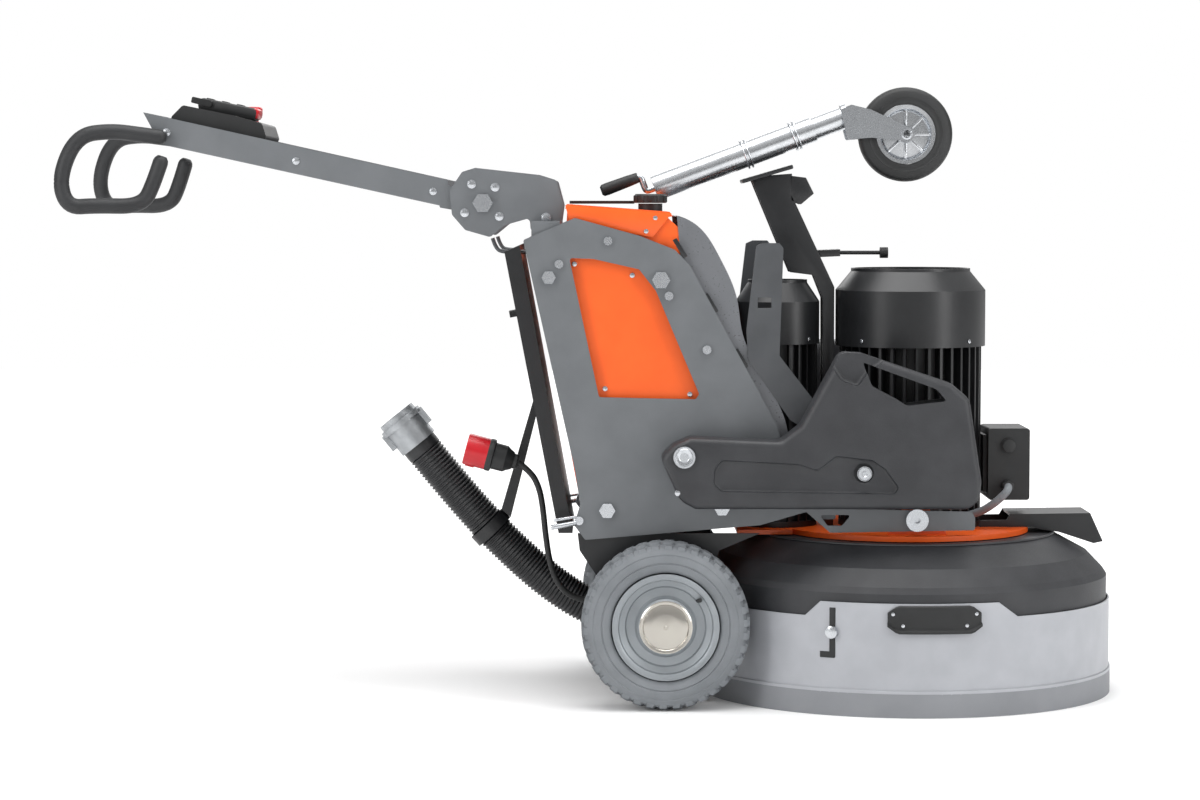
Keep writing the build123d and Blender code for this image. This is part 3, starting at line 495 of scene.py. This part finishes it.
def tread_block(form, turn_from, turn_to, skew, y_low, y_high, r_low, r_high):
    """One rubber block of the tread, chamfered towards its top."""
    corners = []
    for r, inset in ((r_low, 0.0), (r_high, 0.12)):
        span_t, span_y = (turn_to - turn_from) * inset, (y_high - y_low) * inset
        for t, y, lean in (
            (turn_from + span_t, y_low + span_y, 0), (turn_to - span_t, y_low + span_y, 0),
            (turn_to - span_t, y_high - span_y, skew), (turn_from + span_t, y_high - span_y, skew),
        ):
            a = t + lean
            corners.append(form.verts.new(
                Vector((r * math.cos(a), y, r * math.sin(a))) * MM))
    for face in ((3, 2, 1, 0), (4, 5, 6, 7), (0, 1, 5, 4), (1, 2, 6, 5), (2, 3, 7, 6),
                 (3, 0, 4, 7)):
        form.faces.new([corners[i] for i in face])


def drive_tyre(side, name):
    """Pneumatic tyre: round carcass, ringed side walls and blocks in staggered rows."""
    half = [(105, 0), (106, 40), (112, 45), (122, 47.5), (124, 46), (126, 47.8), (138, 48),
            (140, 46.6), (142, 47.4), (150, 44), (155, 38), (157.5, 28), (158.5, 0)]
    profile = half + [(r, -h) for r, h in reversed(half[1:-1])]
    centre = (WHEEL[0], side * WHEEL[1], WHEEL[2])
    carcass = lathe(profile, centre, (0, 1, 0), "carcass", 120)
    form = bmesh.new()
    pitch = 2 * math.pi / TREAD_PITCHES
    for k in range(TREAD_PITCHES):
        start = k * pitch
        for row, (y_low, y_high) in enumerate(((-25, -9), (-7, 7), (9, 25))):
            shift = pitch * 0.5 * (row % 2)
            tread_block(form, start + shift, start + shift + pitch * 0.72,
                        pitch * 0.22 * (1 - row), y_low, y_high, 156.5, 163.6)
        for edge in (-1, 1):
            low, high = sorted((edge * 27, edge * 44))
            tread_block(form, start, start + pitch * 0.62, edge * pitch * 0.15, low, high,
                        149, 158)
    form.transform(Matrix.Translation(Vector(centre) * MM))
    mesh = bpy.data.meshes.new("blocks")
    form.to_mesh(mesh)
    form.free()
    blocks = bpy.data.objects.new("blocks", mesh)
    bpy.context.scene.collection.objects.link(blocks)
    tyre = joined([carcass, blocks], f"drive_tyre_{name}")
    finish_piece(tyre, TYRE_GREY, f"wheel_{name}", [f"tyre_{name}"], 40)


def drive_rim(side, name):
    """Pressed steel rim with a stepped dish, and a domed hub cap over the motor's end."""
    profile = [(16, 20), (16, -40), (52, -43), (55, -40), (56, -30), (60, -26), (76, -25),
               (79, -29), (84, -31), (90, -34), (92, -42), (97, -45), (103.5, -46),
               (104, -42), (101, -38), (101, 38), (104, 42), (103, 46), (97, 45), (92, 30),
               (60, 20)]
    centre = (WHEEL[0], side * WHEEL[1], WHEEL[2])
    rim = lathe(profile, centre, (0, -side, 0), f"drive_rim_{name}", 96)
    finish_piece(rim, RIM_PAINT, f"wheel_{name}", [f"rim_{name}"], 30)
    flip = [(0, -47.8), (3, -47.8), (4, -46.6), (24, -46), (40, -44), (43, -42.6), (45, -44.6),
            (49, -45), (51.5, -43.6), (51.5, -38), (0, -38)]
    cap = lathe(flip, centre, (0, -side, 0), f"hub_cap_{name}", 64)
    finish_piece(cap, HUB_STEEL, f"wheel_{name}", (), 30)
    out = side * (WHEEL[1] + 26)
    stem = rod((centre[0] + 62, out, centre[2] + 50), (centre[0] + 66, out + side * 20,
               centre[2] + 53), 4, 16, 0.5)
    stem.name = f"valve_stem_{name}"
    finish_piece(stem, BLACK_RUBBER, f"wheel_{name}", (), 40)


for side, name in SIDES:
    drive_tyre(side, name)
    drive_rim(side, name)

# ---- grips and handle -----------------------------------------------------------------

GRIP_PATH = ((-834, 177, 1108), (-880, 184, 1114), (-940, 198, 1122), (-1003, 222, 1112),
             (-1036, 238, 1030), (-1020, 240, 972), (-968, 228, 976), (-880, 198, 974),
             (-858, 188, 1020), (-842, 181, 1072))
for side, name in SIDES:
    route = smooth_line([(x * MM, side * y * MM, z * MM) for x, y, z in GRIP_PATH])
    line = evenly(route, 0.006)
    ends = {0: 0.4, 1: 0.85, len(line) - 2: 0.9, len(line) - 1: 0.6}
    radii = [0.0152 * ends.get(i, 1) for i in range(len(line))]
    grip = swept(line, radii, 28, f"grip_{name}", (0, 0.2, 1))
    finish_piece(grip, GRIP_FOAM, "handle", ["grips"], 60)

# screws along the handle channel and round its pivot
BEAM_AT = (-283, 1026)
BEAM_TURN = math.radians(12.5)


def along_beam(reach, down):
    """A place on the channel, from its front upper corner, in millimetres."""
    return (BEAM_AT[0] - reach * math.cos(BEAM_TURN) - down * math.sin(BEAM_TURN),
            BEAM_AT[1] + reach * math.sin(BEAM_TURN) - down * math.cos(BEAM_TURN))


beam_screws, pivot_screws = [], []
for side, _ in SIDES:
    for reach in (24, 300, 560):
        x, z = along_beam(reach, 28)
        beam_screws += bolt(x, side * 160, z, 6, side, 4.5)
    for x, z in ((-236, 1018), (-250, 962), (-190, 1012), (-182, 955)):
        pivot_screws += bolt(x, side * 175, z, 7, side, 5)
    for x, z in ((-90, 952), (-92, 934)):
        pivot_screws += bolt(x, side * 175, z, 8, side, 6)
finish_piece(joined(beam_screws, "beam_screws"), ZINC, "handle")
finish_piece(joined(pivot_screws, "pivot_screws"), ZINC, "chassis")

# ---- dash: display, keys, clip-on remote ----------------------------------------------


def on_dash(x, y, lift, size, bevel, name, finish):
    """A block that lies on the dash's sloping top."""
    slope = math.radians(11.5)
    z = 1174 - (x + 808) * math.tan(slope) + lift
    piece = block((x, y, z), size, bevel, (0, math.degrees(slope), 0))
    piece.name = name
    return finish_piece(piece, finish, "handle")


on_dash(-742, 60, 1, (84, 96, 6), 3, "display_bezel", NYLON)
on_dash(-742, 60, 4.5, (66, 78, 2), 1, "display_glass", GLASSY)
on_dash(-728, -25, 10, (120, 76, 26), 9, "remote_body", NYLON)
on_dash(-676, -25, 12, (22, 70, 22), 7, "remote_end", RED_PLASTIC)
for k in range(3):
    on_dash(-765 + 30 * k, -25, 23, (14, 40, 4), 2, f"remote_key_{k + 1}", BLACK_RUBBER)

# ---- swing weight covers --------------------------------------------------------------

COVER_EDGE = ((132, 491), (158, 516), (190, 530), (364, 522), (403, 553), (479, 694),
              (520, 692), (692, 634), (727, 605), (751, 446), (748, 410), (728, 391), (200, 392),
              (170, 408))
COVER_SLOT = ((522, 675), (663, 624), (682, 601), (605, 592), (586, 605), (538, 630))
CHANNEL = ((236, 470), (250, 488), (399, 480), (434, 468), (469, 496), (540, 488), (566, 470),
           (592, 434), (584, 421), (250, 426), (234, 440))
SHOULDER = ((480, 700), (600, 700), (560, 676), (530, 655), (512, 628), (478, 640), (440, 700))


def weight_cover(side, name):
    """Moulded cover: soft edges, a shallow channel, a sunk shoulder and a hand slot."""
    inner, outer = side * 246, side * 336.5
    body = plate(COVER_EDGE, *sorted((inner, outer)), bevel=12, segments=4)
    cut(body, plate(CHANNEL, *sorted((side * 329, side * 350)), bevel=6, segments=3))
    cut(body, plate(SHOULDER, *sorted((side * 318, side * 350)), bevel=8, segments=3))
    cut(body, plate(COVER_SLOT, *sorted((side * 240, side * 345)), bevel=6, segments=3))
    cut(body, rod((178, side * 240, 493), (178, side * 345, 493), 22, 40))
    cut(body, rod((524, side * 318, 462), (524, side * 345, 462), 19, 40))
    body.name = f"weight_cover_{name}"
    finish_piece(body, MOULDED, f"weight_{name}", [f"weight_{name}"], 32)
    screw = joined(bolt(166, side * 331, 424, 5, side, 5), f"cover_screw_{name}")
    finish_piece(screw, ZINC, f"weight_{name}")


for side, name in SIDES:
    weight_cover(side, name)

# ---- dust shroud ----------------------------------------------------------------------

DECK = (632, 0)


def ring(r_in, r_out, z_low, z_high, name, finish, body, sides=144, edge=0.6):
    """A flat hoop round the deck with eased edges."""
    profile = [(r_in, z_low), (r_out - edge, z_low), (r_out, z_low + edge),
               (r_out, z_high - edge), (r_out - edge, z_high), (r_in, z_high)]
    piece = lathe(profile, (*DECK, 0), (0, 0, 1), name, sides)
    return finish_piece(piece, finish, body, (), 30)


ring(414, 417.9, 44, 52, "skirt_hem", SKIRT_COAT, "shroud")
ring(414, 417.6, 30, 41, "brush_holder", BRISTLE, "shroud")
ring(300, 304, 317, 321, "hood_rim", MOULDED, "head")


def round_deck(angle, r):
    """A place on a circle round the deck's axis."""
    turn = math.radians(angle)
    return (DECK[0] + r * math.cos(turn), DECK[1] + r * math.sin(turn))


def shroud_handle(name):
    """Curved six-sided grab plate with a folded lower lip."""
    form = bmesh.new()
    rings = []
    steps = 24
    for i in range(steps + 1):
        angle = 260.6 + 24.8 * i / steps
        narrow = min(1.0, 0.5 + 0.5 * min(i, steps - i) / 2.5)
        low, high = 189 - 27.5 * narrow, 189 + 26.5 * narrow
        section = ((415.3, low), (426.4, low + 1), (426.4, low + 5), (420.5, low + 9),
                   (420.5, high - 2), (418.5, high), (415.3, high))
        rings.append([form.verts.new(Vector((*round_deck(angle, r), z)) * MM)
                      for r, z in section])
    for one, two in zip(rings, rings[1:]):
        for k in range(len(one)):
            form.faces.new((one[k], one[(k + 1) % len(one)], two[(k + 1) % len(one)], two[k]))
    form.faces.new(rings[0])
    form.faces.new(rings[-1])
    mesh = bpy.data.meshes.new(name)
    form.to_mesh(mesh)
    form.free()
    piece = bpy.data.objects.new(name, mesh)
    bpy.context.scene.collection.objects.link(piece)
    return piece


for side, name in SIDES:
    grab = shroud_handle(f"shroud_handle_{name}")
    screws = []
    for turn, z in ((262, 200), (264.6, 178), (281.4, 178), (284, 200)):
        x, y = round_deck(turn, 420)
        screws.append(rod((x, y, z), (x, y - 3, z), 3.6, 16, 0.5))
    knob_x, knob_y = round_deck(245.7, 415)
    screws.append(rod((knob_x, knob_y, 161), (knob_x - 4, knob_y - 9, 161), 12.5, 24, 2))
    slot_parts = []
    for angle, z, wide, tall in ((245.7, 160, 12, 96), (244.3, 117, 30, 12)):
        x, y = round_deck(angle, 415.2)
        slot_parts.append(block((x, y, z), (wide, 2, tall), 0.6, (0, 0, angle - 270)))
    if side > 0:
        grab.data.transform(Matrix.Scale(-1, 4, (0, 1, 0)))
    finish_piece(grab, NYLON, "shroud",
                 ["shroud_handles"] if side < 0 else [], 30)
    if side > 0:
        for piece in screws + slot_parts:
            piece.data.transform(Matrix.Scale(-1, 4, (0, 1, 0)))
    finish_piece(joined(screws, f"shroud_screws_{name}"), ZINC, "shroud")
    finish_piece(joined(slot_parts, f"height_slot_{name}"), NYLON, "shroud")

# ---- jockey arm: crank, clips, wheel --------------------------------------------------

ARM_TURN = math.radians(20.4)
ALONG = Vector((math.cos(ARM_TURN), 0, math.sin(ARM_TURN)))
LIFT = Vector((-math.sin(ARM_TURN), 0, math.cos(ARM_TURN)))
TUBE_AT = Vector((127, 0, 1011))


def on_arm(reach, lift=0.0):
    """A place along the jockey tube's axis and above it, in millimetres."""
    return TUBE_AT + ALONG * reach + LIFT * lift


def bent_rod(points, r, name, sides=16):
    """A round wire or tube that bends smoothly through its points, in millimetres."""
    line = evenly(smooth_line([Vector(p) * MM for p in points]), 0.003)
    return swept(line, [r * MM] * len(line), sides, name)


crank_rod = bent_rod((on_arm(44), on_arm(-8), on_arm(-19), on_arm(-19, 18), on_arm(-19, 32),
                      on_arm(-30, 32), on_arm(-98, 32)), 6.5, "crank_rod")
finish_piece(crank_rod, ZINC, "crank", ["crank"])
crank_grip = lathe([(0, 0), (9, 0), (10.5, 2), (11.5, 20), (12.6, 66), (12, 76), (8, 80), (0, 80)],
                   on_arm(-24, 32), -ALONG, "crank_grip", 32)
finish_piece(crank_grip, NYLON, "crank")

tube_cap = lathe([(9, -1), (25.5, -1), (25.5, 2), (9, 2)], on_arm(0), ALONG, "tube_cap", 48)
finish_piece(tube_cap, ZINC, "head")

POST_SIDE = ((326, 1014), (398, 842), (446, 836), (464, 790), (466, 330), (488, 330), (488, 812),
             (400, 1000), (402, 1040), (318, 1034))
POST_INNER, POST_OUTER = 26, 32  # faces of the stand's two side plates, from the middle
POST_EAR = ((398, 1036), (430, 1032), (446, 1000), (420, 978), (400, 986))
post = []
for side, _ in SIDES:
    low, high = sorted((side * POST_INNER, side * POST_OUTER))
    post += [plate(POST_SIDE, low, high, 1), plate(POST_EAR, low, high, 1)]
post.append(plate(((300, 1028), (402, 1058), (404, 1050), (302, 1020)), -48, 48, 2))
post.append(plate(((340, 990), (400, 850), (404, 852), (344, 992)), -POST_INNER, POST_INNER, 1))
post.append(plate(((455, 872), (500, 874), (500, 888), (449, 886)), -POST_INNER, POST_INNER, 1))
for z in (334, 560, 780):
    rung = ((468, z), (486, z), (486, z + 12), (468, z + 12))
    post.append(plate(rung, -POST_INNER, POST_INNER, 1))
finish_piece(joined(post, "jockey_stand"), BLACK_COAT, "head", ["jockey_post"])

wires = []
for reach in (193, 201, 297, 305):
    ring_points = []
    for k in range(25):
        t = math.radians(-90 + 360 * k / 24)
        ring_points.append(on_arm(reach, 28.6 * math.sin(t)) + Vector((0, 28.6 * math.cos(t), 0)))
    wires.append(bent_rod(ring_points, 2.2, "wire", 10))
finish_piece(joined(wires, "tube_clips"), ZINC, "head")

CASTER = (631.4, 0, 1119)
hub = lathe([(8.2, -19), (17, -19), (18, -14), (18, -7), (46, -5), (49, -16), (52, -19),
             (59.5, -19.5), (59.5, 19.5), (52, 19), (49, 16), (46, 5), (18, 7), (18, 14),
             (17, 19), (8.2, 19)], CASTER, (0, 1, 0), "jockey_hub", 72)
spokes = [hub]
for k in range(8):
    a = 2 * math.pi * k / 8
    for y in (-9.5, 9.5):
        middle = (CASTER[0] + 33 * math.cos(a), y, CASTER[2] + 33 * math.sin(a))
        spokes.append(block(middle, (34, 7, 5), 1, (0, -math.degrees(a), 0)))
finish_piece(joined(spokes, "jockey_wheel_hub"), GALVANISED, "caster",
             ["caster_wheel"], 30)
tyre = lathe([(60, -22), (64, -22.6), (66, -21.4), (72, -21.4), (74, -22.8), (86, -21), (91.5, -17),
              (94.6, -9), (95, 0), (94.6, 9), (91.5, 17), (86, 21), (74, 22.8), (72, 21.4),
              (66, 21.4), (64, 22.6), (60, 22)], CASTER, (0, 1, 0), "jockey_tyre", 96)
finish_piece(tyre, BLACK_RUBBER, "caster", ["caster_tyre"], 40)
nuts = []
for side, _ in SIDES:
    nuts += bolt(CASTER[0], side * 36, CASTER[2], 9, side, 6)
finish_piece(joined(nuts, "jockey_axle_nuts"), ZINC, "fork")

# ---- filler cap, plug, motors ---------------------------------------------------------

cap = [lathe([(0, 0), (31, 0), (32, 1), (32, 15), (29, 18), (0, 18)], (116, -100, 981),
             (0, 0, 1), "cap", 48)]
for k in range(12):
    a = math.radians(30 * k)
    cap.append(block((116 + 31.5 * math.cos(a), -100 + 31.5 * math.sin(a), 989), (4, 8, 14), 1.2,
                     (0, 0, 30 * k)))
finish_piece(joined(cap, "filler_cap"), NYLON, "tank_cap", ["tank_cap"], 30)

PLUG_AT, PLUG_ALONG = (-148, -100, 464), (-0.966, 0, 0.259)
plug = lathe([(0, 0), (13, 0), (15, 3), (15, 9), (18, 12), (22, 20), (26.4, 26), (26.8, 50),
              (32.5, 52), (32.8, 60), (31, 64), (0, 64)], PLUG_AT, PLUG_ALONG, "plug_body", 48)
finish_piece(plug, NYLON, "chassis", ["power_plug"], 30)
shroud_ring = lathe([(29, 60), (31, 60), (31.6, 64), (31.6, 104), (30.6, 107.5), (28.6, 107.5),
                     (28.6, 62)], PLUG_AT, PLUG_ALONG, "plug_shroud", 48)
key = block(Vector(PLUG_AT) + Vector(PLUG_ALONG) * 92 + Vector((-8, 0, -30)), (18, 8, 5), 1,
            (0, 15, 0))
finish_piece(joined([shroud_ring, key], "plug_shroud"), RED_PLASTIC, "chassis")
mains_cable()

for x, r, z, name in ((644, 151, 706, "big"), (375, 85, 708, "small")):
    heads = []
    for k in range(4):
        a = math.radians(45 + 90 * k)
        spot = (x + r * math.cos(a), r * math.sin(a), z)
        outer = (x + (r + 2) * math.cos(a), (r + 2) * math.sin(a), z)
        heads.append(rod(spot, outer, 4.5, 6, 0.5))
    finish_piece(joined(heads, f"{name}_cowl_screws"), ZINC, "head")

gland = [rod((835, -84, 495), (835, -90, 495), 13, 32, 1.5),
         rod((832, -96, 415), (832, -103, 415), 12.5, 6, 1)]
finish_piece(joined(gland, "cable_glands"), NYLON, "head")
conduit = bent_rod(((832, -100, 415), (832, -112, 412), (822, -118, 400), (800, -112, 380),
                    (775, -96, 362), (740, -80, 352)), 8, "conduit")
finish_piece(conduit, TYRE_GREY, "head")

# ---- screws in the sheet metal, top trim ----------------------------------------------

small = []
for side, _ in SIDES:
    for x, z in ((-34, 862), (79, 840), (26, 618), (192, 607)):
        small.append(rod((x, side * 212, z), (x, side * 215, z), 5, 20, 0.8))
finish_piece(joined(small, "window_screws"), ZINC, "chassis")
TRIM = ((-52, 977), (156, 961), (119, 914), (-43, 944))
trims, trim_screws = [], []
for side, _ in SIDES:
    trims.append(plate(TRIM, *sorted((side * 216.2, side * 218.2)), bevel=0.6))
    for x, z in ((124, 952), (106, 926)):
        trim_screws.append(rod((x, side * 218, z), (x, side * 220.5, z), 4.5, 20, 0.7))
finish_piece(joined(trims, "top_trim"), ORANGE_COAT, "chassis")
finish_piece(joined(trim_screws, "trim_screws"), ZINC, "chassis")

rings = []
for side, _ in SIDES:
    rings.append(lathe([(9, 0), (16, 0), (17, 1.2), (16, 2.4), (11, 2.4), (9, 1.2)],
                       (178, side * 344, 493), (0, side, 0), "shaft_ring", 40))
finish_piece(joined(rings, "shaft_rings"), ZINC, "chassis")
for side, name in SIDES:
    button = lathe([(0, 0), (12, 0), (13, 1), (12, 2.5), (6, 2.5), (4, 0.8), (0, 0.8)],
                   (524, side * 349, 462), (0, side, 0), f"lock_face_{name}", 40)
    finish_piece(button, ZINC, f"lock_{name}")

# ---- rear: cable hooks, status lamp, hitch pins ---------------------------------------

hooks = []
for y in (150, -150):
    hooks.append(bent_rod(((-100, y, 880), (-128, y, 886), (-176, y, 884), (-190, y, 892),
                           (-196, y, 912)), 4, "hook"))
finish_piece(joined(hooks, "cable_hooks"), ARM_COAT, "chassis")
lamp = lathe([(0, 0), (14, 0), (14, 8), (11, 12), (0, 12)], (-131, -60, 760),
             (-0.982, 0, -0.188), "status_lamp", 32)
finish_piece(lamp, YELLOW_PLASTIC, "chassis")
pins = []
for side, _ in SIDES:
    pins.append(rod((-30, side * 236, 356), (-80, side * 236, 347), 5, 16, 0.6))
    pins.append(rod((-30, side * 236, 368), (-74, side * 236, 361), 3, 12, 0.4))
finish_piece(joined(pins, "hitch_pins"), ZINC, "chassis")

marks = []
for side, _ in SIDES:
    for x, z in ((172, 893), (233, 786), (292, 678)):
        marks.append(block((x, side * 226.5, z), (9, 6.6, 42), 1.5, (0, -31, 0)))
finish_piece(joined(marks, "cover_hooks"), BLACK_COAT, "chassis")
